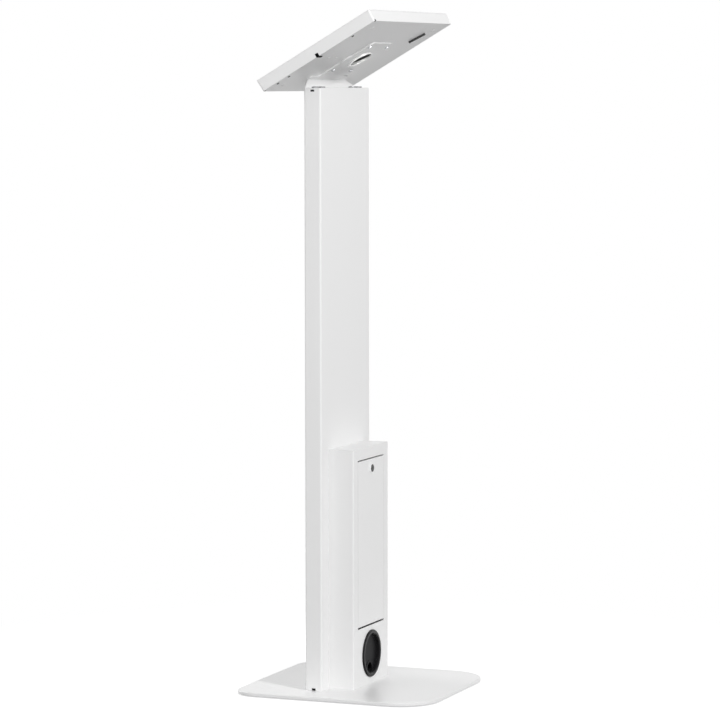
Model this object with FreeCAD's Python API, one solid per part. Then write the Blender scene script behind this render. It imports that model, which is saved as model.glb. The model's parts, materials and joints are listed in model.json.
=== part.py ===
import FreeCAD, Part
import math
import os

from FreeCAD import Placement, Rotation, Vector

# Tablet floor stand, in millimetres.
# Origin: centre of the base plate's outline, on the floor. +Z is up.
# The user stands on the -Y side, the cable box is on the +Y side, X runs across the screen.

# Base plate and its floor pads
base_width = 324.0
base_depth = 345.0
base_thick = 6.0
base_front_corner = 40.0
base_rear_corner = 70.0
base_edge = 0.8
pad_radius = 10.0
pad_thick = 1.5
pad_inset = 34.0

# Column, a flat rectangular tube folded from sheet
column_width = 214.0
column_depth = 30.0
column_height = 997.0
column_wall = 2.0
column_edge = 3.0
column_rear_y = -30.4
hang_slot_width = 7.0
hang_slot_height = 3.2
hang_slot_drop = 2.7
drain_notch_height = 4.1
cable_port_radius = 18.0
cable_port_height = 250.0
bush_lip = 2.5

# Plates welded into the two ends of the column
foot_block_thick = 10.0
top_plate_thick = 5.0
end_notch_width = 9.0
end_notch_depth = 6.0
top_slot_length = 50.0
top_slot_width = 14.0
weld_gap = 0.1

# Screws that hold the column on the base plate
column_screw_radius = 4.0
column_screw_length = 15.0
column_screw_head_radius = 8.0
column_screw_socket_flats = 5.0
column_screw_socket_depth = 2.4
column_screw_inner_x = 32.0
column_screw_outer_x = 82.0

# Cable box behind the column
box_width = 155.0
box_depth = 45.0
box_height = 400.0
box_wall = 1.5
box_edge = 2.0
box_flange = 15.0
box_screw_radius = 2.5
box_screw_head_radius = 4.5
box_screw_head_height = 2.5
box_screw_low = 70.0
box_screw_high = 350.0
weld_nut_flats = 8.0
weld_nut_thick = 4.0
floor_screw_x = 58.0
floor_screw_reach = 5.0

# Door in the rear face of the cable box
door_width = 116.0
door_bottom = 101.0
door_from_top = 21.6
door_wall = 1.5
door_flange = 9.0
door_side_gap = 0.6
door_bottom_gap = 3.0
door_top_gap = 2.4
door_stop_gap = 0.3
stop_lip = 6.0
stop_lip_start = 16.0
hinge_pin_radius = 2.0
hinge_from_face = 3.5
hinge_from_edge = 4.0

# Cam lock in the door
lock_from_top = 15.2
lock_head_radius = 7.2
lock_head_height = 2.6
lock_head_rounding = 0.5
lock_face_radius = 6.6
lock_face_thick = 0.4
lock_barrel_radius = 6.0
lock_plug_radius = 4.3
lock_nut_flats = 15.0
lock_nut_thick = 3.0
key_slot_width = 1.4
key_slot_length = 5.6
key_slot_depth = 2.0
cam_length = 26.0
cam_width = 13.0
cam_thick = 2.0
cam_clear = 0.5
cam_square = 5.0
cam_screw_radius = 1.5
cam_screw_length = 5.0
cam_screw_head_radius = 3.6
cam_screw_head_height = 2.2

# Round cable grommet under the door
grommet_height = 50.2
grommet_flange_radius = 40.0
grommet_flange_height = 3.0
grommet_rounding = 2.4
grommet_mouth = 1.6
grommet_sleeve_radius = 34.8
grommet_wall = 1.9
grommet_sleeve_depth = 14.0
grommet_bead = 0.9
keeper_root = 0.2
keeper_height = 0.7
keeper_width = 1.0
cap_recess = 5.6
cap_thick = 2.2
cap_notch_width = 20.0
cap_notch_depth = 17.0
cap_ledge = 2.5
cap_rim = 4.0
cap_dish_depth = 0.66

# Bent bracket that carries the head
head_tilt = 30.0
bracket_thick = 3.0
bracket_foot_bend = 1.5
bracket_head_bend = 1.5
flange_set = 0.87
flange_length = 17.15
flange_slant_low = 2.0
flange_slant_high = 14.5
shoulder_half = 80.0
shoulder_line = -60.0
shoulder_corner = 4.0
shoulder_fillet = 6.0
vesa_reach = 72.1
tongue_top = 48.6
tongue_half_low = 49.0
tongue_half_high = 44.6
tongue_corner = 8.0
tongue_start = 2.0
ear_low = -16.0
ear_high = 5.0
ear_reach = 8.0
bracket_screw_radius = 3.0
bracket_screw_length = 14.0
bracket_screw_head_radius = 6.0
bracket_screw_head_height = 2.4
bracket_screw_x = 80.0
bracket_screw_pitch = 28.0

# Hole pattern between bracket and enclosure
vesa_pitch = 75.0
vesa_screw_radius = 2.0
vesa_head_radius = 3.8
vesa_head_height = 2.4
press_nut_radius = 3.9
press_nut_height = 4.0
head_hole_radius = 20.6
ring_wall = 1.6
ring_lip = 1.9
ring_lip_height = 2.6
ring_lip_offset = 1.5
ring_bore_offset = 1.0
ring_rounding = 0.9
sleeve_wall = 1.5
sleeve_recess = 0.4
sleeve_slant = 4.4

# Tablet enclosure, in its own tilted frame: x across, y up the slope, z towards the screen
tray_width = 350.5
tray_length = 225.0
enclosure_thick = 20.3
wall_flare_x = 2.0
wall_flare_y = 0.9
sheet = 1.5
tray_corner = 2.5
tray_inner_corner = 0.5
corner_relief_radius = 2.8
corner_relief_inset = 5.0
edge_hole_radius = 2.2
edge_hole_inset = 9.5
edge_hole_inner = 64.5
edge_hole_outer = 86.8
edge_plug_proud = 0.8
port_width = 5.6
port_y = -0.9
port_depth = 17.0
port_rise = 5.8
port_corner = 2.2
port_trim_wall = 0.6
port_trim_proud = 0.3
side_slot_length = 30.0
side_slot_width = 4.6
side_slot_inset_x = 59.75
side_slot_inset_y = 46.0
side_slot_turn = 21.0
plug_lip = 0.6
plug_outer_height = 2.8
plug_inner_height = 1.0

# Front frame with its window
window_border_x = 19.0
window_border_y = 10.0
window_corner = 4.0
frame_lip_depth = 7.0
frame_fold = 1.0

# Screws, posts and pads that hold the frame and the tablet
post_beyond_tablet_x = 11.0
post_beyond_tablet_y = 1.0
post_radius = 3.6
frame_screw_radius = 2.0
frame_screw_length = 12.0
frame_head_radius = 3.8
frame_head_height = 1.0
pocket_border_x = 49.25
pocket_border_y = 22.5
tablet_thick = 7.5
foam_wall = 5.5
back_pad_width = 60.0
back_pad_length = 20.0
back_pad_inset_x = 52.0
back_pad_inset_y = 28.0

# Saddle that holds the charging plug behind the side port
clamp_inset = 65.8
clamp_y = -3.0
clamp_pitch = 31.0
clamp_width = 10.0
clamp_height = 9.5
clamp_arch_radius = 3.5
clamp_screw_radius = 1.5
clamp_screw_length = 8.0
clamp_head_radius = 2.6
clamp_head_height = 1.2

# Clearances
seat_gap = 0.3
fixed_fit = 0.05
running_fit = 0.08
screw_clearance = 0.3

# Shares of a pan head, the length by which a cutter overshoots, and the shortest straight in an outline
head_rounding_share = 0.45
socket_flats_share = 1.1
socket_depth_share = 0.5
overcut = 1.0
shortest_line = 0.02

# Heights and planes worked out from the sizes above
base_bottom = pad_thick
base_top = base_bottom + base_thick
column_top = base_top + column_height
column_front_y = column_rear_y - column_depth
column_mid_y = column_rear_y - column_depth / 2
column_inner_half = column_width / 2 - column_wall
column_inner_front_y = column_front_y + column_wall
column_inner_rear_y = column_rear_y - column_wall
box_rear_y = column_rear_y + box_depth
box_inner_rear_y = box_rear_y - box_wall
box_top = base_top + box_height
door_low = base_top + door_bottom
door_high = box_top - door_from_top
opening_half = door_width / 2 + door_side_gap
opening_low = door_low - door_bottom_gap
opening_high = door_high + door_top_gap
door_inner_y = box_rear_y - door_wall
door_flange_end_y = box_rear_y - door_flange
stop_face_y = door_flange_end_y - door_stop_gap
jamb_end_y = stop_face_y - box_wall
hinge_y = box_rear_y - hinge_from_face
hinge_z = door_low + hinge_from_edge
lock_z = door_high - lock_from_top
cam_face_y = jamb_end_y - cam_clear
cam_back_y = cam_face_y - cam_thick
barrel_end_y = cam_face_y + seat_gap
grommet_z = base_top + grommet_height
grommet_bore = grommet_sleeve_radius - grommet_wall
cap_face_y = box_rear_y + grommet_flange_height - cap_recess
cap_back_y = cap_face_y - cap_thick
foot_top = column_top
foot_bottom = foot_top - bracket_thick
tilt = math.radians(head_tilt)
flange_front_y = column_front_y + flange_set
apex_y = flange_front_y - flange_length * math.sin(tilt)
apex_z = column_top + flange_length * math.cos(tilt)
head_y = apex_y + vesa_reach * math.cos(tilt)
head_z = apex_z + vesa_reach * math.sin(tilt)
frame_seat_z = enclosure_thick - sheet
tablet_width = tray_width - 2 * pocket_border_x
tablet_length = tray_length - 2 * pocket_border_y
post_x = tablet_width / 2 + post_beyond_tablet_x
post_y = tablet_length / 2 + post_beyond_tablet_y
back_pad_x = tablet_width / 2 - back_pad_inset_x
back_pad_y = tablet_length / 2 - back_pad_inset_y
window_width = tablet_width - 2 * window_border_x
window_length = tablet_length - 2 * window_border_y
clamp_x = tray_width / 2 - clamp_inset
side_slot_x = side_slot_inset_x - tray_width / 2
side_slot_y = tray_length / 2 - side_slot_inset_y
back_pad_top = frame_seat_z - tablet_thick - seat_gap
bracket_screw_xs = [
    side * (bracket_screw_x + step * bracket_screw_pitch / 2)
    for side in (-1, 1)
    for step in (-1, 1)
]

UP = Vector(0, 0, 1)
REAR = Vector(0, 1, 0)
ACROSS = Vector(1, 0, 0)


# A block between two opposite corners
def block(low, high):
    size = [b - a for a, b in zip(low, high)]
    return Part.makeBox(size[0], size[1], size[2], Vector(*low))


# A cylinder that starts at a point and runs along a direction
def rod(radius, length, start, direction=UP):
    return Part.makeCylinder(radius, length, Vector(*start), direction)


def tube(outer, inner, length, start, direction=UP):
    return rod(outer, length, start, direction).cut(rod(inner, length, start, direction))


# A hexagonal prism, its flats a given distance apart
def hexagon(flats, length, start, direction):
    reach = flats / math.sqrt(3)
    corners = [
        Vector(reach * math.cos(math.radians(60 * i)), reach * math.sin(math.radians(60 * i)), 0)
        for i in range(6)
    ]
    prism = Part.Face(Part.makePolygon(corners + corners[:1])).extrude(UP * length)
    prism.Placement = Placement(Vector(*start), Rotation(UP, direction))
    return prism


# The outline of a rectangle at height z, its corners round, those at the front with a radius of their own
def round_outline(width, length, radius, z, centre=(0, 0), front_radius=None):
    cx, cy = centre
    x = width / 2
    y = length / 2
    front = front_radius or radius
    edges = []
    arcs = [(x - front, -y + front, front, 270), (x - radius, y - radius, radius, 0),
            (-x + radius, y - radius, radius, 90), (-x + front, -y + front, front, 180)]
    points = []
    for ax, ay, r, start in arcs:
        for turn in (0, 45, 90):
            angle = math.radians(start + turn)
            points.append(Vector(cx + ax + r * math.cos(angle), cy + ay + r * math.sin(angle), z))
    for i in range(4):
        first, middle, last = points[3 * i:3 * i + 3]
        following = points[(3 * i + 3) % 12]
        edges.append(Part.Arc(first, middle, last).toShape())
        edges.append(Part.LineSegment(last, following).toShape())
    return Part.Wire(edges)


def round_plate(width, length, thick, radius, z, centre=(0, 0)):
    return Part.Face(round_outline(width, length, radius, z, centre)).extrude(UP * thick)


# A closed flat shape from straight lines, extruded along a vector
def polygon_prism(points, direction):
    corners = [Vector(*p) for p in points]
    return Part.Face(Part.makePolygon(corners + corners[:1])).extrude(direction)


# A slot with round ends, long across X, cut down from height z
def slot_plug(length, width, depth, centre, z):
    return round_plate(length, width, depth, (width - shortest_line) / 2, z, centre)


def fused(shapes):
    result = shapes[0]
    for shape in shapes[1:]:
        result = result.fuse(shape)
    return result.removeSplitter()


def mirrored_x(shape):
    return shape.mirror(Vector(0, 0, 0), ACROSS)


# Turns a shape made in the head's own frame into its place on the stand
def on_head(shape):
    placed = shape.copy()
    seat = Placement(Vector(0, head_y, head_z), Rotation(ACROSS, head_tilt))
    placed.Placement = seat.multiply(placed.Placement)
    return placed


# Four copies of a shape at plus and minus x and y
def at_corners(make, x, y):
    return [make(sx * x, sy * y) for sx in (-1, 1) for sy in (-1, 1)]


def column_screw_places():
    xs = (-column_screw_outer_x, -column_screw_inner_x, column_screw_inner_x, column_screw_outer_x)
    return [(x, column_mid_y) for x in xs]


def floor_screw_places():
    y = (column_rear_y + box_rear_y) / 2
    return [(-floor_screw_x, y), (floor_screw_x, y)]


def countersunk_cone(x, y, extra):
    radius = column_screw_head_radius + extra
    depth = radius - column_screw_radius
    return Part.makeCone(radius, column_screw_radius, depth, Vector(x, y, base_bottom))


# Base plate: one thick sheet with large round corners and tapped and countersunk holes
def base_plate():
    outline = round_outline(base_width, base_depth, base_rear_corner, base_bottom,
                            front_radius=base_front_corner)
    plate = Part.Face(outline).extrude(UP * base_thick)
    rims = [e for e in plate.Edges if abs(e.BoundBox.ZMin - e.BoundBox.ZMax) < 0.001]
    plate = plate.makeChamfer(base_edge, rims)
    for x, y in column_screw_places():
        plate = plate.cut(rod(column_screw_radius + screw_clearance, base_thick, (x, y, base_bottom)))
        plate = plate.cut(countersunk_cone(x, y, screw_clearance))
    for x, y in floor_screw_places():
        plate = plate.cut(rod(box_screw_radius + fixed_fit, base_thick, (x, y, base_bottom)))
    return plate


def floor_pads():
    x = base_width / 2 - pad_inset
    y = base_depth / 2 - pad_inset
    return at_corners(lambda px, py: rod(pad_radius, pad_thick, (px, py, 0)), x, y)


# Flush screws from below, through the base plate into the block in the column's foot
def column_screws():
    screws = []
    for x, y in column_screw_places():
        shank = rod(column_screw_radius, column_screw_length, (x, y, base_bottom))
        socket = hexagon(column_screw_socket_flats, column_screw_socket_depth, (x, y, base_bottom), UP)
        screws.append(shank.fuse(countersunk_cone(x, y, 0)).cut(socket))
    return screws


def rear_screw_places():
    x = box_width / 2 - box_flange / 2
    return [(side * x, base_top + z) for side in (-1, 1) for z in (box_screw_low, box_screw_high)]


# Column: a folded rectangular tube, with its front wall lower at the top for the bracket's bend
def column_shell():
    centre = (0, column_mid_y)
    outer = round_plate(column_width, column_depth, column_height, column_edge, base_top, centre)
    inner = round_plate(column_width - 2 * column_wall, column_depth - 2 * column_wall, column_height,
                        column_edge - column_wall, base_top, centre)
    shell = outer.cut(inner)
    drop = bracket_thick + seat_gap
    shell = shell.cut(block((-column_inner_half, column_front_y - overcut, column_top - drop),
                            (column_inner_half, column_inner_front_y + column_edge, column_top + overcut)))
    slot_half = hang_slot_width / 2
    slot_top = column_top - hang_slot_drop
    shell = shell.cut(block((-column_width, column_mid_y - slot_half, slot_top - hang_slot_height),
                            (column_width, column_mid_y + slot_half, slot_top)))
    shell = shell.cut(block((-column_width, column_mid_y - slot_half, base_top - overcut),
                            (column_width, column_mid_y + slot_half, base_top + drain_notch_height)))
    port_z = base_top + cable_port_height
    hole_start = column_inner_rear_y - column_wall
    shell = shell.cut(rod(cable_port_radius, column_wall * 3, (0, hole_start, port_z), REAR))
    for x, z in rear_screw_places():
        shell = shell.cut(rod(box_screw_radius + screw_clearance, column_wall * 3, (x, hole_start, z), REAR))
    return shell


# A plate that closes one end of the column, notched at its ends to drain and hang it
def end_plate(thick, z):
    width = 2 * (column_inner_half - weld_gap)
    depth = column_depth - 2 * (column_wall + weld_gap)
    plate = round_plate(width, depth, thick, column_edge - column_wall, z, (0, column_mid_y))
    return cut_end_notches(plate, width / 2, thick, z)


def cut_end_notches(plate, half_width, thick, z):
    half = end_notch_width / 2
    for side in (-1, 1):
        near = side * (half_width - end_notch_depth)
        far = side * (half_width + overcut)
        plate = plate.cut(block((min(near, far), column_mid_y - half, z - overcut),
                                (max(near, far), column_mid_y + half, z + thick + overcut)))
    return plate


def column_foot_block():
    plate = end_plate(foot_block_thick, base_top)
    for x, y in column_screw_places():
        plate = plate.cut(rod(column_screw_radius + fixed_fit, foot_block_thick, (x, y, base_top)))
    return plate


def column_top_plate():
    low = foot_bottom - top_plate_thick
    plate = end_plate(top_plate_thick, low)
    plate = plate.cut(slot_plug(top_slot_length, top_slot_width, top_plate_thick, (0, column_mid_y), low))
    for x in bracket_screw_xs:
        plate = plate.cut(rod(bracket_screw_radius + fixed_fit, top_plate_thick, (x, column_mid_y, low)))
    return plate


# Rubber bush in the hole where cables enter the column from the box
def cable_bush():
    z = base_top + cable_port_height
    start = (0, column_inner_rear_y - bush_lip, z)
    length = column_wall + 2 * bush_lip
    body = rod(cable_port_radius + bush_lip, length, start, REAR)
    groove_width = column_wall + 2 * fixed_fit
    groove_start = (0, column_inner_rear_y - fixed_fit, z)
    groove_outer = cable_port_radius + 2 * bush_lip
    groove = tube(groove_outer, cable_port_radius - fixed_fit, groove_width, groove_start, REAR)
    return body.cut(groove).cut(rod(cable_port_radius - bush_lip, length, start, REAR))


# Nuts welded inside the column's rear wall, and the screws that pull the box against it
def weld_nuts():
    nuts = []
    for x, z in rear_screw_places():
        start = (x, column_inner_rear_y - weld_nut_thick, z)
        nut = hexagon(weld_nut_flats, weld_nut_thick, start, REAR)
        nuts.append(nut.cut(rod(box_screw_radius + fixed_fit, weld_nut_thick, start, REAR)))
    return nuts


# A pan screw whose head sits on a face and whose shank runs the other way
def pan_screw(radius, length, head_radius, head_height, seat, direction):
    under = Vector(*seat)
    crown = under + direction * head_height
    shank = Part.makeCylinder(radius, length, under - direction * length, direction)
    head = Part.makeCylinder(head_radius, head_height, under, direction)
    rim = [e for e in head.Edges if (e.CenterOfMass - crown).Length < 0.01]
    head = head.makeFillet(head_height * head_rounding_share, rim)
    socket_depth = head_height * socket_depth_share
    socket_floor = tuple(crown - direction * socket_depth)
    socket = hexagon(radius * socket_flats_share, socket_depth, socket_floor, direction)
    return shank.fuse(head).cut(socket)


def box_screw(length, seat, direction):
    return pan_screw(box_screw_radius, length, box_screw_head_radius, box_screw_head_height, seat, direction)


def box_screws():
    length = box_wall + column_wall + weld_nut_thick
    return [box_screw(length, (x, column_rear_y + box_wall, z), REAR) for x, z in rear_screw_places()]


def box_floor_screws():
    length = box_wall + floor_screw_reach
    return [box_screw(length, (x, y, base_top + box_wall), UP) for x, y in floor_screw_places()]


# Cable box: folded sheet, open towards the column inside its flanges, with a jamb round the door
def cable_box():
    half = box_width / 2
    centre = (0, column_rear_y + box_depth / 2)
    outer = round_plate(box_width, box_depth, box_height, box_edge, base_top, centre)
    outer = outer.fuse(block((-half, column_rear_y, base_top), (half, column_rear_y + box_edge, box_top)))
    hollow = block((-half + box_wall, column_rear_y + box_wall, base_top + box_wall),
                   (half - box_wall, box_inner_rear_y, box_top - box_wall))
    mouth = block((-half + box_flange, column_rear_y - overcut, base_top + box_wall),
                  (half - box_flange, column_rear_y + 2 * box_wall, box_top - box_flange))
    shell = outer.cut(hollow).cut(mouth)
    jamb = block((-opening_half - box_wall, jamb_end_y, opening_low),
                 (opening_half + box_wall, box_rear_y, opening_high + box_wall))
    shell = shell.fuse(jamb)
    lip_low = opening_low + stop_lip_start
    inner_half = opening_half - stop_lip
    lip_front = jamb_end_y - overcut
    lip_back = stop_face_y + overcut
    shell = shell.cut(block((-opening_half, stop_face_y, opening_low),
                            (opening_half, box_rear_y + overcut, opening_high)))
    shell = shell.cut(block((-inner_half, lip_front, lip_low), (inner_half, lip_back, opening_high)))
    shell = shell.cut(block((-opening_half, lip_front, opening_low), (opening_half, lip_back, lip_low)))
    axis_start = (-opening_half - 2 * box_wall, hinge_y, hinge_z)
    hinge_span = 2 * (opening_half + 2 * box_wall)
    shell = shell.cut(rod(hinge_pin_radius + running_fit, hinge_span, axis_start, ACROSS))
    reach = 3 * box_wall
    grommet_start = (0, box_inner_rear_y - box_wall, grommet_z)
    shell = shell.cut(rod(grommet_sleeve_radius + fixed_fit, reach, grommet_start, REAR))
    hole_radius = box_screw_radius + screw_clearance
    for x, z in rear_screw_places():
        shell = shell.cut(rod(hole_radius, reach, (x, column_rear_y - box_wall, z), REAR))
    for x, y in floor_screw_places():
        shell = shell.cut(rod(hole_radius, reach, (x, y, base_top - box_wall)))
    return shell.removeSplitter()


# Door: a shallow pan that stands on two pins near its lower edge
def box_door():
    half = door_width / 2
    door = block((-half, door_flange_end_y, door_low), (half, box_rear_y, door_high))
    door = door.cut(block((-half + door_wall, door_flange_end_y, door_low + door_wall),
                          (half - door_wall, door_inner_y, door_high - door_wall)))
    pin_start = (-half - overcut, hinge_y, hinge_z)
    door = door.cut(rod(hinge_pin_radius + fixed_fit, door_width + 2 * overcut, pin_start, ACROSS))
    lock_start = (0, door_inner_y - door_wall, lock_z)
    return door.cut(rod(lock_barrel_radius + fixed_fit, door_wall * 3, lock_start, REAR))


def hinge_pins():
    inner = door_width / 2 - door_wall
    length = door_wall + door_side_gap + box_wall
    pin = rod(hinge_pin_radius, length, (inner, hinge_y, hinge_z), ACROSS)
    return [pin, mirrored_x(pin)]


# Cam lock: housing and nut stay on the door, plug, cam and its screw turn with the key
def lock_housing():
    head = Part.makeCylinder(lock_head_radius, lock_head_height, Vector(0, box_rear_y, lock_z), REAR)
    rim = [e for e in head.Edges if abs(e.CenterOfMass.y - box_rear_y - lock_head_height) < 0.01]
    head = head.makeFillet(lock_head_rounding, rim)
    barrel_length = box_rear_y - barrel_end_y
    barrel = rod(lock_barrel_radius, barrel_length, (0, barrel_end_y, lock_z), REAR)
    bore_length = barrel_length + lock_head_height + 2 * overcut
    bore = rod(lock_plug_radius + running_fit, bore_length, (0, barrel_end_y - overcut, lock_z), REAR)
    return head.fuse(barrel).cut(bore)


# Black ring on the lock's face
def lock_face():
    start = (0, box_rear_y + lock_head_height, lock_z)
    return tube(lock_face_radius, lock_plug_radius + running_fit, lock_face_thick, start, REAR)


def lock_nut():
    start = (0, door_inner_y - lock_nut_thick, lock_z)
    nut = hexagon(lock_nut_flats, lock_nut_thick, start, REAR)
    return nut.cut(rod(lock_barrel_radius + fixed_fit, lock_nut_thick, start, REAR))


def lock_plug():
    face_y = box_rear_y + lock_head_height + lock_face_thick - seat_gap
    plug = rod(lock_plug_radius, face_y - cam_face_y, (0, cam_face_y, lock_z), REAR)
    half = cam_square / 2
    plug = plug.fuse(block((-half, cam_back_y, lock_z - half), (half, cam_face_y, lock_z + half)))
    key_slot = block((-key_slot_width / 2, face_y - key_slot_depth, lock_z - key_slot_length / 2),
                     (key_slot_width / 2, face_y + overcut, lock_z + key_slot_length / 2))
    tap = rod(cam_screw_radius + fixed_fit, cam_screw_length, (0, cam_back_y, lock_z), REAR)
    return plug.cut(key_slot).cut(tap)


# The cam lies across the door when unlocked and turns up behind the jamb when locked
def lock_cam():
    half = cam_width / 2
    plate = block((0, cam_back_y, lock_z - half), (cam_length - half, cam_face_y, lock_z + half))
    for x in (0, cam_length - half):
        plate = plate.fuse(rod(half, cam_thick, (x, cam_back_y, lock_z), REAR))
    hole = cam_square / 2 + fixed_fit
    plate = plate.cut(block((-hole, cam_back_y - overcut, lock_z - hole),
                            (hole, cam_face_y + overcut, lock_z + hole)))
    return plate.removeSplitter()


def cam_screw():
    seat = (0, cam_back_y, lock_z)
    return pan_screw(cam_screw_radius, cam_screw_length, cam_screw_head_radius, cam_screw_head_height,
                     seat, REAR * -1)


# Grommet: flanged sleeve that snaps into the box, with a recessed turning cap
def grommet_ring():
    front_y = box_rear_y + grommet_flange_height
    flange = rod(grommet_flange_radius, grommet_flange_height, (0, box_rear_y, grommet_z), REAR)
    rim = [e for e in flange.Edges if abs(e.CenterOfMass.y - front_y) < 0.01]
    flange = flange.makeFillet(grommet_rounding, rim)
    back_y = box_rear_y - grommet_sleeve_depth
    sleeve = rod(grommet_sleeve_radius, grommet_sleeve_depth, (0, back_y, grommet_z), REAR)
    bead_y = box_inner_rear_y - seat_gap - 2 * grommet_bead
    bead = rod(grommet_sleeve_radius + grommet_bead, 2 * grommet_bead, (0, bead_y, grommet_z), REAR)
    body = flange.fuse(sleeve).fuse(bead)
    ledge_y = cap_back_y - seat_gap
    body = body.cut(rod(grommet_bore, front_y - ledge_y + overcut, (0, ledge_y, grommet_z), REAR))
    through_start = (0, back_y - overcut, grommet_z)
    body = body.cut(rod(grommet_bore - cap_ledge, grommet_sleeve_depth * 2, through_start, REAR))
    mouth_start = Vector(0, front_y - grommet_mouth, grommet_z)
    mouth = Part.makeCone(grommet_bore, grommet_bore + grommet_mouth, grommet_mouth, mouth_start, REAR)
    body = body.cut(mouth)
    keeper_start = (0, cap_face_y + seat_gap, grommet_z)
    keeper = tube(grommet_bore + keeper_root, grommet_bore - keeper_height, keeper_width, keeper_start, REAR)
    return body.fuse(keeper).removeSplitter()


def grommet_cap():
    radius = grommet_bore - running_fit
    cap = rod(radius, cap_thick, (0, cap_back_y, grommet_z), REAR)
    half = cap_notch_width / 2
    notch_z = grommet_z - radius + cap_notch_depth - half
    cap = cap.cut(block((-half, cap_back_y - overcut, grommet_z - radius - overcut),
                        (half, cap_face_y + overcut, notch_z)))
    cap = cap.cut(rod(half, cap_thick, (0, cap_back_y, notch_z), REAR))
    dish = rod(radius - cap_rim, cap_dish_depth, (0, cap_face_y - cap_dish_depth, grommet_z), REAR)
    rib = tube(half + cap_rim, half, cap_thick, (0, cap_back_y, notch_z), REAR)
    return cap.cut(dish.cut(rib))


# Bracket: foot plate in the column's mouth, a flange at right angles to the tongue, and the tongue
def bracket_profile():
    t = bracket_thick
    slope = Vector(0, math.cos(tilt), math.sin(tilt))
    normal = Vector(0, -math.sin(tilt), math.cos(tilt))
    low = UP * -1
    foot_rear_y = column_inner_rear_y - seat_gap
    r_foot = bracket_foot_bend
    r_head = bracket_head_bend
    foot_corner = Vector(0, flange_front_y + t * math.tan(tilt), foot_bottom)
    run = (r_foot + t) * math.tan(math.radians(90 - head_tilt) / 2)
    foot_centre = foot_corner + REAR * run + UP * (r_foot + t)
    foot_middle = (low - slope).normalize()
    head_centre = Vector(0, apex_y, apex_z) + (slope - normal) * (r_head + t)
    head_middle = (normal - slope).normalize()
    outer_end = Vector(0, apex_y, apex_z) + slope * (vesa_reach + tongue_join())
    inner_end = outer_end - normal * t
    def bend(centre, radius, first, middle, last):
        return Part.Arc(centre + first * radius, centre + middle * radius, centre + last * radius)
    front = slope * -1
    outer = [
        Part.LineSegment(Vector(0, foot_rear_y, foot_bottom), foot_centre + low * (r_foot + t)),
        bend(foot_centre, r_foot + t, low, foot_middle, front),
        Part.LineSegment(foot_centre + front * (r_foot + t), head_centre + front * (r_head + t)),
        bend(head_centre, r_head + t, front, head_middle, normal),
        Part.LineSegment(head_centre + normal * (r_head + t), outer_end),
    ]
    inner = [
        Part.LineSegment(outer_end, inner_end),
        Part.LineSegment(inner_end, head_centre + normal * r_head),
        bend(head_centre, r_head, normal, head_middle, front),
        Part.LineSegment(head_centre + front * r_head, foot_centre + front * r_foot),
        bend(foot_centre, r_foot, front, foot_middle, low),
        Part.LineSegment(foot_centre + low * r_foot, Vector(0, foot_rear_y, foot_top)),
        Part.LineSegment(Vector(0, foot_rear_y, foot_top), Vector(0, foot_rear_y, foot_bottom)),
    ]
    return Part.Face(Part.Wire([c.toShape() for c in outer + inner]))


# Where the flat tongue plate takes over from the bend, along the slope from the hole pattern
def tongue_join():
    return bracket_head_bend + bracket_thick + tongue_start - vesa_reach


# What the slanted side of the flange leaves out, on the +X side
def flange_wedge(half_width):
    slope = Vector(0, math.cos(tilt), math.sin(tilt))
    beyond = flange_length + overcut
    corners = [(half_width, flange_slant_low), (shoulder_half, flange_slant_high), (shoulder_half, beyond),
               (half_width + overcut, beyond), (half_width + overcut, flange_slant_low)]
    points = []
    for x, d in corners:
        y = flange_front_y - d * math.sin(tilt) - overcut * math.cos(tilt)
        points.append((x, y, column_top + d * math.cos(tilt) - overcut * math.sin(tilt)))
    return polygon_prism(points, slope * (bracket_head_bend + bracket_thick + tongue_start + 2 * overcut))


# The tongue's flat outline in the head's frame: wide shoulders at the bend, small ears at its edges
def tongue_plate():
    a0 = tongue_join()
    t = bracket_thick
    low = tongue_half_low
    high = tongue_half_high
    c = tongue_corner
    s = shoulder_corner
    f = shoulder_fillet
    k = 1 - math.cos(math.radians(45))
    mid = (ear_low + ear_high) / 2
    def p(x, a):
        return Vector(x, a, -t)
    right = [
        Part.LineSegment(p(shoulder_half, a0), p(shoulder_half, shoulder_line - s)),
        Part.Arc(p(shoulder_half, shoulder_line - s), p(shoulder_half - k * s, shoulder_line - k * s),
                 p(shoulder_half - s, shoulder_line)),
        Part.LineSegment(p(shoulder_half - s, shoulder_line), p(low + f, shoulder_line)),
        Part.Arc(p(low + f, shoulder_line), p(low + k * f, shoulder_line + k * f), p(low, shoulder_line + f)),
        Part.LineSegment(p(low, shoulder_line + f), p(low, ear_low)),
        Part.Arc(p(low, ear_low), p(high + ear_reach, mid), p(high, ear_high)),
        Part.LineSegment(p(high, ear_high), p(high, tongue_top - c)),
        Part.Arc(p(high, tongue_top - c), p(high - k * c, tongue_top - k * c), p(high - c, tongue_top)),
    ]
    edges = [curve.toShape() for curve in right]
    mirrored = [mirrored_x(e) for e in edges]
    top = Part.LineSegment(p(high - c, tongue_top), p(c - high, tongue_top)).toShape()
    start = Part.LineSegment(p(-shoulder_half, a0), p(shoulder_half, a0)).toShape()
    wire = Part.Wire(Part.__sortEdges__(edges + [top] + mirrored + [start]))
    return Part.Face(wire).extrude(UP * t)


def vesa_places():
    half = vesa_pitch / 2
    return [(sx * half, sy * half) for sx in (-1, 1) for sy in (-1, 1)]


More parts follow.
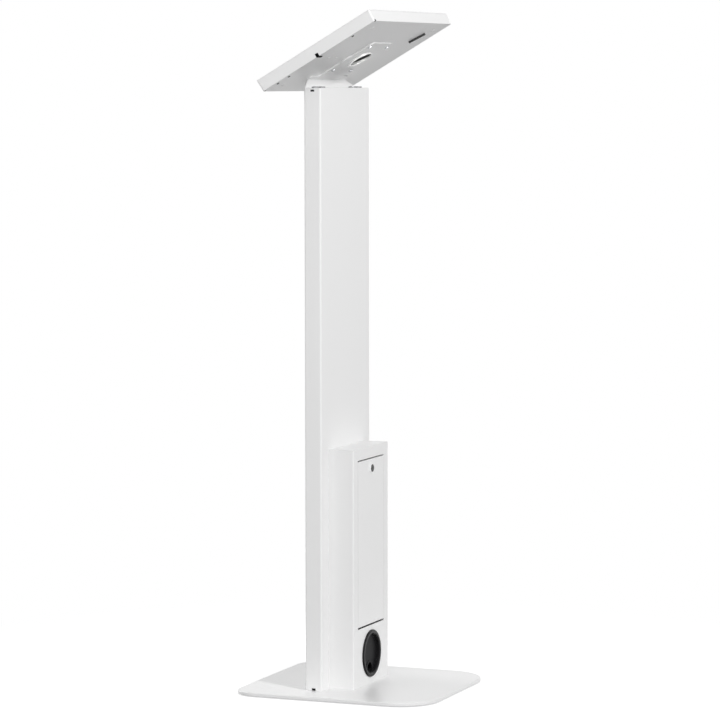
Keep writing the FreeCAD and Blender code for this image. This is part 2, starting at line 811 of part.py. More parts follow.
def head_bracket():
    half_width = column_inner_half - seat_gap
    bent = bracket_profile().extrude(ACROSS * (2 * half_width))
    bent.translate(Vector(-half_width, 0, 0))
    wedge = flange_wedge(half_width)
    bent = bent.cut(wedge).cut(mirrored_x(wedge))
    bracket = bent.fuse(on_head(tongue_plate())).removeSplitter()
    bracket = cut_end_notches(bracket, half_width, bracket_thick, foot_bottom)
    through = bracket_thick + 2 * overcut
    for x in bracket_screw_xs:
        hole = rod(bracket_screw_radius + screw_clearance, through, (x, column_mid_y, foot_bottom - overcut))
        bracket = bracket.cut(hole)
    cable_slot = slot_plug(top_slot_length, top_slot_width, through, (0, column_mid_y), foot_bottom - overcut)
    bracket = bracket.cut(cable_slot)
    below = -bracket_thick - overcut
    bracket = bracket.cut(on_head(rod(head_hole_radius, through, (0, 0, below))))
    for x, y in vesa_places():
        hole = rod(vesa_screw_radius + screw_clearance, through, (x, y, below))
        bracket = bracket.cut(on_head(hole))
    return bracket


def bracket_screws():
    return [
        pan_screw(bracket_screw_radius, bracket_screw_length, bracket_screw_head_radius,
                  bracket_screw_head_height, (x, column_mid_y, foot_top), UP)
        for x in bracket_screw_xs
    ]


# A screw that enters the head from below
def head_screw(radius, length, head_radius, head_height, seat):
    return on_head(pan_screw(radius, length, head_radius, head_height, seat, UP * -1))


# Screws up through the tongue, and the nuts pressed into the tray that take them
def vesa_screws():
    length = bracket_thick + press_nut_height + sheet
    return [head_screw(vesa_screw_radius, length, vesa_head_radius, vesa_head_height, (x, y, -bracket_thick))
            for x, y in vesa_places()]


def press_nuts():
    nuts = []
    for x, y in vesa_places():
        nut = tube(press_nut_radius, vesa_screw_radius + fixed_fit, press_nut_height, (x, y, sheet))
        nuts.append(on_head(nut))
    return nuts


# Edging ring through bracket and tray, its lip lower on the slope than its bore
def head_grommet():
    through = bracket_thick + sheet
    outer = head_hole_radius - fixed_fit
    body = rod(outer, through, (0, 0, -bracket_thick))
    lip_start = (0, -ring_lip_offset, -bracket_thick - ring_lip_height)
    lower = rod(head_hole_radius + ring_lip, ring_lip_height, lip_start)
    low_rim = [e for e in lower.Edges if abs(e.CenterOfMass.z + bracket_thick + ring_lip_height) < 0.01]
    lower = lower.makeFillet(ring_rounding, low_rim)
    upper = rod(head_hole_radius + ring_lip / 2, sheet, (0, 0, sheet))
    bore_length = through + ring_lip_height + sheet + 2 * overcut
    bore_start = (0, ring_bore_offset, -bracket_thick - ring_lip_height - overcut)
    bore = rod(outer - ring_wall, bore_length, bore_start)
    return on_head(fused([body, lower, upper]).cut(bore))


# Black sleeve pressed into the ring, set back from its mouth, its lower end cut at a slant
def head_sleeve():
    outer = head_hole_radius - ring_wall - 2 * fixed_fit
    low = sleeve_recess - bracket_thick - ring_lip_height
    sleeve = tube(outer, outer - sleeve_wall, 2 * sheet - low, (0, ring_bore_offset, low))
    near = ring_bore_offset - outer
    far = ring_bore_offset + outer
    corners = [(-outer, near, low - overcut), (-outer, far, low - overcut), (-outer, far, low),
               (-outer, near, low + sleeve_slant)]
    return on_head(sleeve.cut(polygon_prism(corners, ACROSS * (2 * outer))))


# Tray: floor and four walls that lean outwards, folded from one sheet
def flared_block(inset, z_low, z_high):
    def outline(z):
        share = z / enclosure_thick
        width = tray_width + 2 * (wall_flare_x * share - inset)
        length = tray_length + 2 * (wall_flare_y * share - inset)
        return round_outline(width, length, max(tray_corner - inset, tray_inner_corner), z)
    return Part.makeLoft([outline(z_low), outline(z_high)], True, True)


def post_places():
    return [(sx * post_x, sy * post_y) for sx in (-1, 1) for sy in (-1, 1)]


def clamp_screw_places():
    return [(clamp_x - clamp_pitch / 2, clamp_y), (clamp_x + clamp_pitch / 2, clamp_y)]


# The room that the charging port takes in floor and wall, less an inset
def port_block(inset):
    half = port_width / 2 - inset
    start = tray_width / 2 - port_depth + inset
    port = block((start, port_y - half, -sheet),
                 (tray_width / 2 + 4 * wall_flare_x, port_y + half, port_rise - inset))
    inner_end = [e for e in port.Edges if e.BoundBox.ZLength > sheet and abs(e.CenterOfMass.x - start) < 0.01]
    inner_end = [e for e in inner_end if e.BoundBox.YLength < 0.01]
    return port.makeFillet(port_corner - inset, inner_end)


# Relief holes in the bends at the two corners on the port's side
def corner_relief_places():
    x = tray_width / 2 - corner_relief_inset
    y = tray_length / 2 - sheet / 2
    return [Vector(x, y, sheet / 2), Vector(x, -y, sheet / 2)]


# Small holes in the floor along the edge on the port's side
def edge_hole_places():
    x = tray_width / 2 - edge_hole_inset
    return [(x, y) for y in (-edge_hole_outer, -edge_hole_inner, edge_hole_inner)]


# A bar with round ends on the side slot's line, larger than the slot by a margin
def side_slot_block(margin, thick, z):
    width = side_slot_width + 2 * margin
    bar = round_plate(width, side_slot_length + 2 * margin, thick, (width - shortest_line) / 2, z)
    place = Placement(Vector(side_slot_x, side_slot_y, 0), Rotation(UP, side_slot_turn))
    bar.Placement = place.multiply(bar.Placement)
    return bar


def enclosure_tray():
    tray = flared_block(0, 0, frame_seat_z)
    tray = tray.cut(flared_block(sheet, sheet, frame_seat_z + overcut))
    tray = tray.cut(rod(head_hole_radius, 3 * sheet, (0, 0, -sheet)))
    for x, y in vesa_places():
        tray = tray.cut(rod(vesa_screw_radius + screw_clearance, 3 * sheet, (x, y, -sheet)))
    for x, y in post_places():
        tray = tray.cut(rod(frame_screw_radius + screw_clearance, 3 * sheet, (x, y, -sheet)))
    for x, y in clamp_screw_places():
        tray = tray.cut(rod(clamp_screw_radius + screw_clearance, 3 * sheet, (x, y, -sheet)))
    tray = tray.cut(port_block(0)).cut(side_slot_block(0, 3 * sheet, -sheet))
    for place in corner_relief_places():
        tray = tray.cut(Part.makeSphere(corner_relief_radius, place))
    for x, y in edge_hole_places():
        tray = tray.cut(rod(edge_hole_radius, 3 * sheet, (x, y, -sheet)))
    return on_head(tray)


# Rubber plugs in the tray's relief holes and in the small holes of its floor
def relief_plugs():
    skin = flared_block(0, 0, frame_seat_z).cut(flared_block(sheet, sheet, frame_seat_z + overcut))
    radius = corner_relief_radius - fixed_fit
    corners = [skin.common(Part.makeSphere(radius, place)) for place in corner_relief_places()]
    height = sheet + edge_plug_proud
    edges = [rod(edge_hole_radius - fixed_fit, height, (x, y, -edge_plug_proud)) for x, y in edge_hole_places()]
    return [on_head(plug) for plug in corners + edges]


# Black edge trim that lines the charging port
def port_trim():
    proud = port_trim_proud
    skin = flared_block(-proud, -proud, frame_seat_z)
    skin = skin.cut(flared_block(sheet + proud, sheet + proud, frame_seat_z + overcut))
    return on_head(port_block(fixed_fit).cut(port_block(port_trim_wall)).common(skin))


# Rubber plug with a lip on either side of the tray's floor, which closes the side slot
def slot_closer():
    body = side_slot_block(-fixed_fit, sheet, 0)
    outer = side_slot_block(plug_lip, plug_outer_height, -plug_outer_height)
    inner = side_slot_block(plug_lip, plug_inner_height, sheet)
    return on_head(fused([body, outer, inner]))


# Front frame: a bezel that closes the tray, with a folded lip inside the tray's walls
def front_frame():
    frame = flared_block(0, frame_seat_z, enclosure_thick)
    inset = sheet + seat_gap
    lip = flared_block(inset, frame_seat_z - frame_lip_depth, frame_seat_z)
    lip_low = frame_seat_z - frame_lip_depth
    lip = lip.cut(flared_block(inset + frame_fold, lip_low - overcut, frame_seat_z + overcut))
    frame = frame.fuse(lip)
    window = round_plate(window_width, window_length, 3 * sheet, window_corner, frame_seat_z - sheet)
    return on_head(frame.cut(window))


# Threaded posts pressed into the frame, and the screws that reach them from below the tray
def frame_posts():
    low = sheet + seat_gap
    posts = []
    for x, y in post_places():
        post = rod(post_radius, frame_seat_z - low, (x, y, low))
        tap = rod(frame_screw_radius + fixed_fit, frame_screw_length, (x, y, low))
        posts.append(on_head(post.cut(tap)))
    return posts


def frame_screws():
    return [head_screw(frame_screw_radius, frame_screw_length, frame_head_radius, frame_head_height, (x, y, 0))
            for x, y in post_places()]


# Foam frame that centres the tablet, cut out over the saddle
def foam_frame():
    width = tablet_width + 2 * seat_gap
    length = tablet_length + 2 * seat_gap
    high = frame_seat_z - seat_gap
    frame = block((-width / 2 - foam_wall, -length / 2 - foam_wall, sheet),
                  (width / 2 + foam_wall, length / 2 + foam_wall, high))
    frame = frame.cut(block((-width / 2, -length / 2, 0), (width / 2, length / 2, high + overcut)))
    half = clamp_width / 2 + seat_gap
    cutout = block((0, clamp_y - half, 0), (width, clamp_y + half, sheet + clamp_height + seat_gap))
    return on_head(frame.cut(cutout))


# Foam that presses the tablet against the frame
def back_pads():
    half_x = back_pad_width / 2
    half_y = back_pad_length / 2
    def pad(x, y):
        return on_head(block((x - half_x, y - half_y, sheet), (x + half_x, y + half_y, back_pad_top)))
    return at_corners(pad, back_pad_x, back_pad_y)


# Saddle over the charging lead, held by two small screws whose heads show under the tray
def cable_clamp():
    half_x = clamp_pitch / 2 + clamp_width / 2
    half_y = clamp_width / 2
    saddle = block((clamp_x - half_x, clamp_y - half_y, sheet),
                   (clamp_x + half_x, clamp_y + half_y, sheet + clamp_height))
    arch = rod(clamp_arch_radius, clamp_width, (clamp_x, clamp_y - half_y, sheet + clamp_arch_radius), REAR)
    arch = arch.fuse(block((clamp_x - clamp_arch_radius, clamp_y - half_y, sheet),
                           (clamp_x + clamp_arch_radius, clamp_y + half_y, sheet + clamp_arch_radius)))
    saddle = saddle.cut(arch)
    for x, y in clamp_screw_places():
        saddle = saddle.cut(rod(clamp_screw_radius + fixed_fit, clamp_height, (x, y, sheet)))
    return on_head(saddle)


def clamp_screws():
    return [head_screw(clamp_screw_radius, clamp_screw_length, clamp_head_radius, clamp_head_height, (x, y, 0))
            for x, y in clamp_screw_places()]


nodes = {
    "base_plate": base_plate(),
    "floor_pads": floor_pads(),
    "column_screws": column_screws(),
    "column_shell": column_shell(),
    "column_foot_block": column_foot_block(),
    "column_top_plate": column_top_plate(),
    "cable_bush": cable_bush(),
    "weld_nuts": weld_nuts(),
    "cable_box": cable_box(),
    "box_screws": box_screws(),
    "box_floor_screws": box_floor_screws(),
    "box_door": box_door(),
    "hinge_pins": hinge_pins(),
    "lock_housing": lock_housing(),
    "lock_face": lock_face(),
    "lock_nut": lock_nut(),
    "lock_plug": lock_plug(),
    "lock_cam": lock_cam(),
    "cam_screw": cam_screw(),
    "grommet_ring": grommet_ring(),
    "grommet_cap": grommet_cap(),
    "head_bracket": head_bracket(),
    "bracket_screws": bracket_screws(),
    "vesa_screws": vesa_screws(),
    "press_nuts": press_nuts(),
    "head_grommet": head_grommet(),
    "head_sleeve": head_sleeve(),
    "enclosure_tray": enclosure_tray(),
    "relief_plugs": relief_plugs(),
    "port_trim": port_trim(),
    "slot_closer": slot_closer(),
    "front_frame": front_frame(),
    "frame_posts": frame_posts(),
    "frame_screws": frame_screws(),
    "foam_frame": foam_frame(),
    "back_pads": back_pads(),
    "cable_clamp": cable_clamp(),
    "clamp_screws": clamp_screws(),
}

os.makedirs("parts", exist_ok=True)
for name, shape in nodes.items():
    if isinstance(shape, list):
        shape = Part.makeCompound(shape)
    shape.exportStep("parts/" + name + ".step")
    print(name, len(shape.Solids), "solids", round(shape.Volume), "mm3", "valid", shape.isValid())
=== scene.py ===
import json
import math

import bpy
import numpy as np
from mathutils import Matrix, Vector


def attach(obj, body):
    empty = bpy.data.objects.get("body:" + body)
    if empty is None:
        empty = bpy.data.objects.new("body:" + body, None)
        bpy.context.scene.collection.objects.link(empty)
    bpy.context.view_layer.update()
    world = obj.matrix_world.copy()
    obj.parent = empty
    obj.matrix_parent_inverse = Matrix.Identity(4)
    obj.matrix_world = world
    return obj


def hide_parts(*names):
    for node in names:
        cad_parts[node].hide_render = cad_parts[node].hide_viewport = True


# A floor stand for a tablet: powder-coated sheet steel with black, rubber and plated small parts.
# Everything is in metres, in the CAD's frame: +Y is the side of the cable box.

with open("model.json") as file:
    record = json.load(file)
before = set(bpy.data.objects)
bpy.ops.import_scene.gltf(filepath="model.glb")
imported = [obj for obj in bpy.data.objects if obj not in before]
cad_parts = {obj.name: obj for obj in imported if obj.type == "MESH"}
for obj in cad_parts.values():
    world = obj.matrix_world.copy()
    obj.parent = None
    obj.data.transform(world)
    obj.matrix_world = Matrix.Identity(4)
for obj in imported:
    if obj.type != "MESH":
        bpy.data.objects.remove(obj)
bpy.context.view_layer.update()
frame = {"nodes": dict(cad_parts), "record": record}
nodes = frame["nodes"]
print("frame loaded:", len(nodes), "nodes")


# Shader helpers

def newMaterial(name):
    material = bpy.data.materials.new(name)
    material.use_nodes = True
    tree = material.node_tree
    return material, tree, tree.nodes["Principled BSDF"]


def addNode(tree, kind, **values):
    node = tree.nodes.new(kind)
    for key, value in values.items():
        if hasattr(node, key):
            setattr(node, key, value)
        else:
            node.inputs[key.replace("_", " ")].default_value = value
    return node


# Noise of a fine surface: its height from two sizes mixed by weight, and wide patches for its tone.
# A finish gives its own three values, so the ones here only stand in for them
grainLook = {"Fine Scale": 900.0, "Broad Scale": 120.0, "Broad Share": 0.4}
grainDetail = {"fine": 2.0, "broad": 1.0}
patchLook = {"Scale": 9.0, "Detail": 3.0}


def makeGrainGroup():
    group = bpy.data.node_groups.new("surfaceGrain", "ShaderNodeTree")
    for name, value in grainLook.items():
        socket = group.interface.new_socket(name, in_out="INPUT", socket_type="NodeSocketFloat")
        socket.default_value = value
    group.interface.new_socket("Height", in_out="OUTPUT", socket_type="NodeSocketFloat")
    group.interface.new_socket("Patches", in_out="OUTPUT", socket_type="NodeSocketFloat")
    entry = group.nodes.new("NodeGroupInput")
    leave = group.nodes.new("NodeGroupOutput")
    place = group.nodes.new("ShaderNodeTexCoord")
    fine = addNode(group, "ShaderNodeTexNoise", Detail=grainDetail["fine"])
    broad = addNode(group, "ShaderNodeTexNoise", Detail=grainDetail["broad"])
    patches = addNode(group, "ShaderNodeTexNoise", **patchLook)
    mix = addNode(group, "ShaderNodeMix", data_type="FLOAT")
    link = group.links.new
    for noise in (fine, broad, patches):
        link(place.outputs["Object"], noise.inputs["Vector"])
    link(entry.outputs["Fine Scale"], fine.inputs["Scale"])
    link(entry.outputs["Broad Scale"], broad.inputs["Scale"])
    link(entry.outputs["Broad Share"], mix.inputs["Factor"])
    link(fine.outputs["Fac"], mix.inputs["A"])
    link(broad.outputs["Fac"], mix.inputs["B"])
    link(mix.outputs["Result"], leave.inputs["Height"])
    link(patches.outputs["Fac"], leave.inputs["Patches"])
    return group


surfaceGrain = makeGrainGroup()


bevelSamples = 4


# One finish: its colour and roughness drift a little in patches, its grain is a bump,
# and its edges are rounded in the shading by a small radius
def finish(name, settings):
    material, tree, shader = newMaterial(name)
    grain = tree.nodes.new("ShaderNodeGroup")
    grain.node_tree = surfaceGrain
    grain.inputs["Fine Scale"].default_value = settings["fineScale"]
    grain.inputs["Broad Scale"].default_value = settings["broadScale"]
    grain.inputs["Broad Share"].default_value = settings["broadShare"]
    tone = addNode(tree, "ShaderNodeMix", data_type="RGBA")
    tone.inputs["A"].default_value = (*settings["darkTone"], 1.0)
    tone.inputs["B"].default_value = (*settings["lightTone"], 1.0)
    smoothest, roughest = settings["rough"]
    rough = addNode(tree, "ShaderNodeMapRange", To_Min=smoothest, To_Max=roughest)
    bump = addNode(tree, "ShaderNodeBump", Strength=settings["bump"], Distance=settings["depth"])
    rounding = addNode(tree, "ShaderNodeBevel", samples=bevelSamples, Radius=settings["edge"])
    link = tree.links.new
    link(grain.outputs["Patches"], tone.inputs["Factor"])
    link(grain.outputs["Patches"], rough.inputs["Value"])
    link(grain.outputs["Height"], bump.inputs["Height"])
    link(rounding.outputs["Normal"], bump.inputs["Normal"])
    link(tone.outputs["Result"], shader.inputs["Base Color"])
    link(rough.outputs["Result"], shader.inputs["Roughness"])
    link(bump.outputs["Normal"], shader.inputs["Normal"])
    shader.inputs["Metallic"].default_value = settings.get("metallic", 0.0)
    shader.inputs["Specular IOR Level"].default_value = settings.get("specular", 0.5)
    shader.inputs["Coat Weight"].default_value = settings.get("coat", 0.0)
    shader.inputs["Coat Roughness"].default_value = settings.get("coatRough", 0.03)
    return material


finishes = {
    "white_coat": {
        "lightTone": (0.82, 0.82, 0.82), "darkTone": (0.80, 0.80, 0.80), "rough": (0.34, 0.44),
        "fineScale": 1100.0, "broadScale": 260.0, "broadShare": 0.45, "bump": 0.12, "depth": 0.00006,
        "edge": 0.0007
    },
    "base_coat": {
        "lightTone": (0.83, 0.83, 0.83), "darkTone": (0.81, 0.81, 0.81), "rough": (0.34, 0.42),
        "fineScale": 1100.0, "broadScale": 260.0, "broadShare": 0.45, "bump": 0.06, "depth": 0.00006,
        "edge": 0.0009, "coat": 0.4, "coatRough": 0.3
    },
    # primer is on the plates inside the column. Its near-black colour is painted shade: it stands in for
    # the shade inside the column, seen through the column's slots and notches
    "primer": {
        "lightTone": (0.034, 0.034, 0.036), "darkTone": (0.022, 0.022, 0.024), "rough": (0.5, 0.66),
        "fineScale": 1300.0, "broadScale": 240.0, "broadShare": 0.5, "bump": 0.12, "depth": 0.00005,
        "edge": 0.0004
    },
    "zinc_steel": {
        "lightTone": (0.66, 0.67, 0.68), "darkTone": (0.58, 0.59, 0.61), "rough": (0.22, 0.34),
        "fineScale": 2500.0, "broadScale": 400.0, "broadShare": 0.3, "bump": 0.1, "depth": 0.00004,
        "edge": 0.0002, "metallic": 1.0
    },
    "lock_chrome": {
        "lightTone": (0.97, 0.97, 0.98), "darkTone": (0.92, 0.93, 0.94), "rough": (0.06, 0.12),
        "fineScale": 2200.0, "broadScale": 300.0, "broadShare": 0.5, "bump": 0.03, "depth": 0.00003,
        "edge": 0.0003, "metallic": 1.0
    },
    "black_plastic": {
        "lightTone": (0.017, 0.017, 0.018), "darkTone": (0.012, 0.012, 0.013), "rough": (0.16, 0.24),
        "fineScale": 1600.0, "broadScale": 300.0, "broadShare": 0.4, "bump": 0.06, "depth": 0.00005,
        "edge": 0.0004
    },
    "white_plastic": {
        "lightTone": (0.97, 0.97, 0.96), "darkTone": (0.95, 0.95, 0.94), "rough": (0.34, 0.42),
        "fineScale": 1500.0, "broadScale": 300.0, "broadShare": 0.4, "bump": 0.05, "depth": 0.00005,
        "edge": 0.0004, "metallic": 0.6, "coat": 1.0, "coatRough": 0.1
    },
    # black_steel is near black. On the lock plug its dark face is a painted reflection: it stands in for a
    # dark reflection in the lock's chrome face
    "black_steel": {
        "lightTone": (0.030, 0.030, 0.031), "darkTone": (0.022, 0.022, 0.023), "rough": (0.10, 0.16),
        "fineScale": 2200.0, "broadScale": 300.0, "broadShare": 0.4, "bump": 0.04, "depth": 0.00003,
        "edge": 0.0004
    },
    # A copy of zinc_steel with a darker colour, for the bracket screws under the tablet head: the darker
    # colour is painted shade
    "shaded_zinc": {
        "lightTone": (0.40, 0.40, 0.41), "darkTone": (0.34, 0.34, 0.35), "rough": (0.24, 0.34),
        "fineScale": 2500.0, "broadScale": 400.0, "broadShare": 0.3, "bump": 0.1, "depth": 0.00004,
        "edge": 0.0003, "metallic": 1.0
    },
    "ring_plastic": {
        "lightTone": (0.015, 0.015, 0.016), "darkTone": (0.011, 0.011, 0.012), "rough": (0.14, 0.2),
        "fineScale": 1600.0, "broadScale": 300.0, "broadShare": 0.4, "bump": 0.06, "depth": 0.00005,
        "edge": 0.0004, "specular": 0.10
    },
    "cap_plastic": {
        "lightTone": (0.015, 0.015, 0.016), "darkTone": (0.011, 0.011, 0.012), "rough": (0.30, 0.38),
        "fineScale": 1600.0, "broadScale": 300.0, "broadShare": 0.4, "bump": 0.06, "depth": 0.00005,
        "edge": 0.0004, "specular": 0.03
    },
    "rubber": {
        "lightTone": (0.034, 0.034, 0.034), "darkTone": (0.024, 0.024, 0.024), "rough": (0.66, 0.82),
        "fineScale": 2400.0, "broadScale": 500.0, "broadShare": 0.4, "bump": 0.3, "depth": 0.0001,
        "edge": 0.0005
    },
    "foam": {
        "lightTone": (0.058, 0.058, 0.062), "darkTone": (0.042, 0.042, 0.046), "rough": (0.88, 0.98),
        "fineScale": 1300.0, "broadScale": 600.0, "broadShare": 0.5, "bump": 0.7, "depth": 0.0003,
        "edge": 0.0008
    },
}

# Nodes whose finish differs a little from their slot's
ownFinish = {
    "base_plate": "base_coat",
    "grommet_cap": "cap_plastic",
    "grommet_ring": "ring_plastic",
    # The bracket screws get the zinc whose darker colour is painted shade
    "bracket_screws": "shaded_zinc",
}

materials = {slot: finish(slot, settings) for slot, settings in finishes.items()}

for part in frame["record"]["subparts"]:
    mesh = nodes[part["node"]].data
    mesh.materials.clear()
    mesh.materials.append(materials[ownFinish.get(part["node"], part["material_slot"])])
print("finishes given to the CAD nodes:", len(materials))


# The head's own frame: x across, y up the slope, z towards the screen; its middle lies at the cable hole
head = {"centre": (0.0, -0.0056646, 1.0554023), "tilt": 30.0}


def headToStand(points):
    turn = math.radians(head["tilt"])
    along = np.array((0.0, math.cos(turn), math.sin(turn)))
    outward = np.array((0.0, -math.sin(turn), math.cos(turn)))
    across = np.array((1.0, 0.0, 0.0))
    x, y, z = (points[..., i:i + 1] for i in range(3))
    return np.array(head["centre"]) + x * across + y * along + z * outward


def newPiece(name, vertices, faces, material):
    mesh = bpy.data.meshes.new(name)
    mesh.from_pydata(vertices.reshape(-1, 3).tolist(), [], faces)
    mesh.materials.append(material)
    mesh.polygons.foreach_set("use_smooth", np.ones(len(mesh.polygons), dtype=bool))
    mesh.update()
    piece = bpy.data.objects.new(name, mesh)
    bpy.context.scene.collection.objects.link(piece)
    return piece


# Quads between neighbouring rows and columns of a grid. Its columns close on themselves, its rows on demand
def ringFaces(rows, columns, closeRows=False):
    last = rows if closeRows else rows - 1
    row, column = np.meshgrid(np.arange(last), np.arange(columns), indexing="ij")
    nextRow = (row + 1) % rows
    nextColumn = (column + 1) % columns
    corners = (row * columns + column, row * columns + nextColumn,
               nextRow * columns + nextColumn, nextRow * columns + column)
    return np.stack(corners, axis=-1).reshape(-1, 4).tolist()


# Foam pads that press the tablet forward. A pad's rings are its rounded outline, shrunk towards the middle
# on both flat faces and set in along a quarter circle at its edges. The front face swells a little
backPads = {"places": [(-0.074, -0.062), (-0.074, 0.062), (0.074, -0.062), (0.074, 0.062)],
            "half": (0.030, 0.010), "low": 0.0015, "high": 0.0110, "edge": 0.0011, "crown": 0.0003,
            "squareness": 14.0, "firstRing": 0.08, "crownPower": 4,
            "around": 96, "flatRings": 7, "edgeRings": 6, "fill": 0.9}


def makeBackPads():
    s = backPads
    a, b = s["half"]
    low, high, r = s["low"], s["high"], s["edge"]
    angle = np.linspace(0, 2 * math.pi, s["around"], endpoint=False)
    power = 2 / s["squareness"]
    outline = np.stack((np.sign(np.cos(angle)) * np.abs(np.cos(angle)) ** power,
                        np.sign(np.sin(angle)) * np.abs(np.sin(angle)) ** power), axis=-1)
    shrink = np.linspace(s["firstRing"], 1.0, s["flatRings"])
    bend = np.linspace(0, math.pi / 2, s["edgeRings"])
    swell = s["crown"] * (1 - shrink[::-1] ** s["crownPower"])
    scale = np.concatenate((shrink, np.ones(s["edgeRings"] * 2 - 2), shrink[::-1]))
    flat = np.full(s["flatRings"], r)
    inset = np.concatenate((flat, r * (1 - np.sin(bend[1:])), r * (1 - np.cos(bend[:-1])), flat))
    lowFace = np.full(s["flatRings"], low)
    lowEdge = low + r * (1 - np.cos(bend[1:]))
    highEdge = high - r * (1 - np.sin(bend[:-1]))
    height = np.concatenate((lowFace, lowEdge, highEdge, high + swell))
    x = outline[None, :, 0] * (a - inset)[:, None] * scale[:, None]
    y = outline[None, :, 1] * (b - inset)[:, None] * scale[:, None]
    z = np.broadcast_to(height[:, None], x.shape)
    rings = np.stack((x, y, z), axis=-1)
    poles = np.array([(0, 0, low), (0, 0, high + s["crown"])])
    count, around = rings.shape[:2]
    sides = ringFaces(count, around)
    nextOne = (np.arange(around) + 1) % around
    topStart = (count - 1) * around
    lowFan = [(count * around, int(j), i) for i, j in enumerate(nextOne)]
    highFan = [(count * around + 1, topStart + i, topStart + int(j)) for i, j in enumerate(nextOne)]
    for number, (px, py) in enumerate(s["places"]):
        points = np.concatenate((rings.reshape(-1, 3), poles)) + np.array((px, py, 0))
        faces = sides + lowFan + highFan
        pad = newPiece("backPad%d" % (number + 1), headToStand(points), faces, materials["foam"])
        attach(pad, "stand")
        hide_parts("back_pads")


# Foam frame round the tablet. Each point lies between the frame's inner and outer rectangle, on a section
# with round edges. The section's lower edge rises where the frame passes over the saddle: the rise takes up
# the share "ramp" of the frame's half height, and "slack" keeps the notch's own ends inside it
foamFrame = {"inner": (0.1263, 0.0903), "wall": 0.0055, "low": 0.0015, "high": 0.0185, "edge": 0.0009,
             "notch": (-0.0083, 0.0023), "notchTop": 0.0113, "ramp": 0.004, "slack": 0.001,
             "perSide": 26, "perEdge": 5, "fill": 0.95}


def makeFoamFrame():
    s = foamFrame
    a, b = s["inner"]
    w, r = s["wall"], s["edge"]
    side = np.linspace(-1, 1, s["perSide"], endpoint=False)
    start, end = (v / b for v in s["notch"])
    marks = (start - s["ramp"], start, end, end + s["ramp"])
    right = np.sort(np.concatenate((side, marks)))
    ones = np.ones_like
    loops = ((ones(right), right), (-side, ones(side)), (-ones(side), -side), (side, -ones(side)))
    unitX = np.concatenate([loop[0] for loop in loops])
    unitY = np.concatenate([loop[1] for loop in loops])
    inNotch = (unitX == 1) & (unitY > start - s["slack"]) & (unitY < end + s["slack"])
    low = np.where(inNotch, s["notchTop"], s["low"])[:, None]
    high = np.full_like(low, s["high"])
    bend = np.linspace(0, math.pi / 2, s["perEdge"])
    nearOne = r * (1 - np.cos(bend))
    nearZero = r * (1 - np.sin(bend))
    across = np.concatenate((nearOne, w - nearZero, w - nearOne, nearZero))[None, :]
    z = np.concatenate((high - nearZero, high - nearOne, low + nearZero, low + nearOne), axis=1)
    x = unitX[:, None] * (a + across)
    y = unitY[:, None] * (b + across)
    points = headToStand(np.stack((x, y, z), axis=-1))
    piece = newPiece("foamFrame", points, ringFaces(*x.shape, closeRows=True), materials["foam"])
    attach(piece, "stand")
    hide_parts("foam_frame")


makeBackPads()
makeFoamFrame()
print("foam pads and foam frame made")


# 1 where the camera, a reflection or a clear piece looks, 0 for the light that falls on the pieces
def lookedAt(tree):
    path = tree.nodes.new("ShaderNodeLightPath")
    looked = path.outputs["Is Camera Ray"]
    for ray in ("Is Glossy Ray", "Is Transmission Ray"):
        either = addNode(tree, "ShaderNodeMath", operation="MAXIMUM")
        tree.links.new(looked, either.inputs[0])
        tree.links.new(path.outputs[ray], either.inputs[1])
        looked = either.outputs[0]
    return looked


# The floor looks pale and takes the shadow near the stand, and fades to plain white further out.
# What it throws back on the stand is a plain grey
floorLook = {"size": 60.0, "bounce": 0.38, "lift": 0.67, "catch": 0.55, "white": 1.0,
             "shadowInner": 0.45, "shadowOuter": 0.95}


def makeFloor():
    half = floorLook["size"] / 2
    mesh = bpy.data.meshes.new("floor")
    corners = [(-half, -half, 0), (half, -half, 0), (half, half, 0), (-half, half, 0)]
    mesh.from_pydata(corners, [], [(0, 1, 2, 3)])
    floor = bpy.data.objects.new("floor", mesh)
    bpy.context.scene.collection.objects.link(floor)
    material, tree, shader = newMaterial("floor")
    tree.nodes.remove(shader)
    bounce = floorLook["bounce"]
    catch = floorLook["catch"]
    plain = addNode(tree, "ShaderNodeBsdfDiffuse", Color=(bounce, bounce, bounce, 1))
    catcher = addNode(tree, "ShaderNodeBsdfDiffuse", Color=(catch, catch, catch, 1))
    lift = addNode(tree, "ShaderNodeEmission", Strength=floorLook["lift"])
    white = addNode(tree, "ShaderNodeEmission", Strength=floorLook["white"])
    lifted = tree.nodes.new("ShaderNodeAddShader")
    place = tree.nodes.new("ShaderNodeTexCoord")
    reach = addNode(tree, "ShaderNodeVectorMath", operation="LENGTH")
    fade = addNode(tree, "ShaderNodeMapRange", From_Min=floorLook["shadowInner"],
                   From_Max=floorLook["shadowOuter"])
    fade.interpolation_type = "SMOOTHSTEP"
    far = tree.nodes.new("ShaderNodeMixShader")
    seen = tree.nodes.new("ShaderNodeMixShader")
    link = tree.links.new
    link(catcher.outputs[0], lifted.inputs[0])
    link(lift.outputs[0], lifted.inputs[1])
    link(place.outputs["Object"], reach.inputs[0])
    link(reach.outputs["Value"], fade.inputs["Value"])
    link(fade.outputs["Result"], far.inputs[0])
    link(lifted.outputs[0], far.inputs[1])
    link(white.outputs[0], far.inputs[2])
    link(lookedAt(tree), seen.inputs[0])
    link(plain.outputs[0], seen.inputs[1])
    link(far.outputs[0], seen.inputs[2])
    link(seen.outputs[0], tree.nodes["Material Output"].inputs["Surface"])
    mesh.materials.append(material)


makeFloor()

# The studio gives less light from overhead than from round its walls, but looks plain white itself
worldLook = {"walls": 0.95, "ceiling": 0.28, "reach": 0.8, "seen": 1.0}


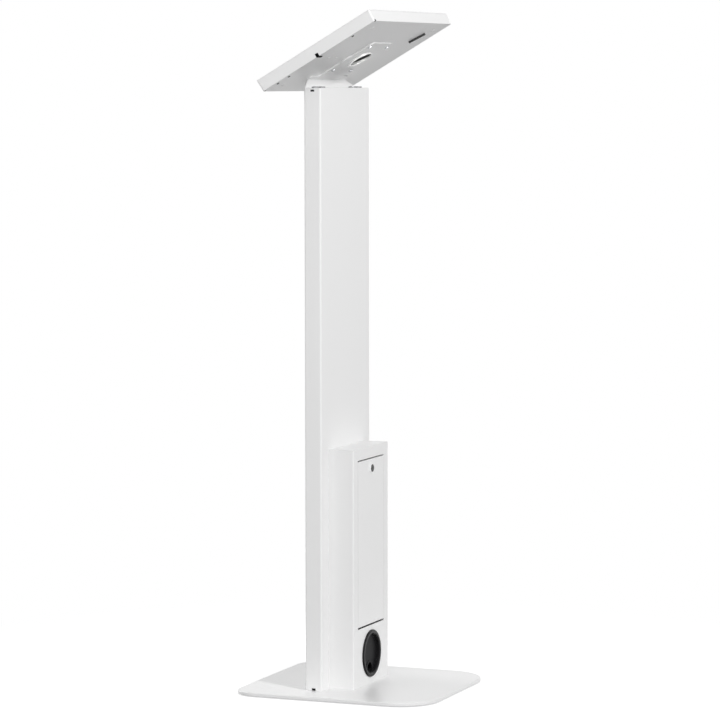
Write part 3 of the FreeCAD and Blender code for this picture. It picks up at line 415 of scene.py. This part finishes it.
def makeWorld():
    world = bpy.data.worlds.new("studio")
    bpy.context.scene.world = world
    world.use_nodes = True
    tree = world.node_tree
    background = tree.nodes["Background"]
    background.inputs["Color"].default_value = (1, 1, 1, 1)
    place = tree.nodes.new("ShaderNodeTexCoord")
    split = tree.nodes.new("ShaderNodeSeparateXYZ")
    light = addNode(tree, "ShaderNodeMapRange", From_Max=worldLook["reach"], To_Min=worldLook["walls"],
                    To_Max=worldLook["ceiling"])
    level = addNode(tree, "ShaderNodeMapRange", To_Max=worldLook["seen"])
    link = tree.links.new
    link(place.outputs["Generated"], split.inputs[0])
    link(split.outputs["Z"], light.inputs["Value"])
    link(light.outputs["Result"], level.inputs["To Min"])
    link(lookedAt(tree), level.inputs["Value"])
    link(level.outputs["Result"], background.inputs["Strength"])


makeWorld()

# Soft lamps: where each stands, what it looks at, its side and its power
lamps = {
    "key": {"place": (1.6, 3.05, 2.86), "aim": (0, 0, 0.5), "side": 0.45, "power": 92.0},
    "side": {"place": (3.9, 0.4, 1.3), "aim": (0, 0, 0.6), "side": 3.0, "power": 38.0},
    "front": {"place": (-0.8, -3.2, 1.9), "aim": (0, 0, 0.6), "side": 1.6, "power": 38.0},
}


def addLamps():
    for name, lamp in lamps.items():
        data = bpy.data.lights.new(name, "AREA")
        data.shape = "SQUARE"
        data.size = lamp["side"]
        data.energy = lamp["power"]
        light = bpy.data.objects.new(name, data)
        light.location = lamp["place"]
        beam = Vector(lamp["aim"]) - Vector(lamp["place"])
        light.rotation_euler = beam.to_track_quat("-Z", "Y").to_euler()
        bpy.context.scene.collection.objects.link(light)


addLamps()

# The photograph's view: degrees round the stand from the user's side, degrees up, metres away
view = {"azimuth": 112.0, "elevation": 4.74, "roll": -0.077, "distance": 5.606,
        "target": (-0.0089, -0.0085, 0.5505), "lens": 167.5, "sensor": 36.0, "reach": 100.0}


def addCamera():
    turn = math.radians(view["azimuth"])
    rise = math.radians(view["elevation"])
    roll = math.radians(view["roll"])
    back = Vector((math.sin(turn) * math.cos(rise), -math.cos(turn) * math.cos(rise), math.sin(rise)))
    level = Vector((math.cos(turn), math.sin(turn), 0))
    up = back.cross(level)
    right = math.cos(roll) * level + math.sin(roll) * up
    top = math.cos(roll) * up - math.sin(roll) * level
    data = bpy.data.cameras.new("camera")
    data.lens = view["lens"]
    data.sensor_width = view["sensor"]
    data.clip_end = view["reach"]
    camera = bpy.data.objects.new("camera", data)
    spot = Vector(view["target"]) + back * view["distance"]
    camera.matrix_world = Matrix.Translation(spot) @ Matrix((right, top, back)).transposed().to_4x4()
    bpy.context.scene.collection.objects.link(camera)
    bpy.context.scene.camera = camera


addCamera()
bpy.context.scene.view_settings.view_transform = "Standard"
print("stage, lamps and camera set")
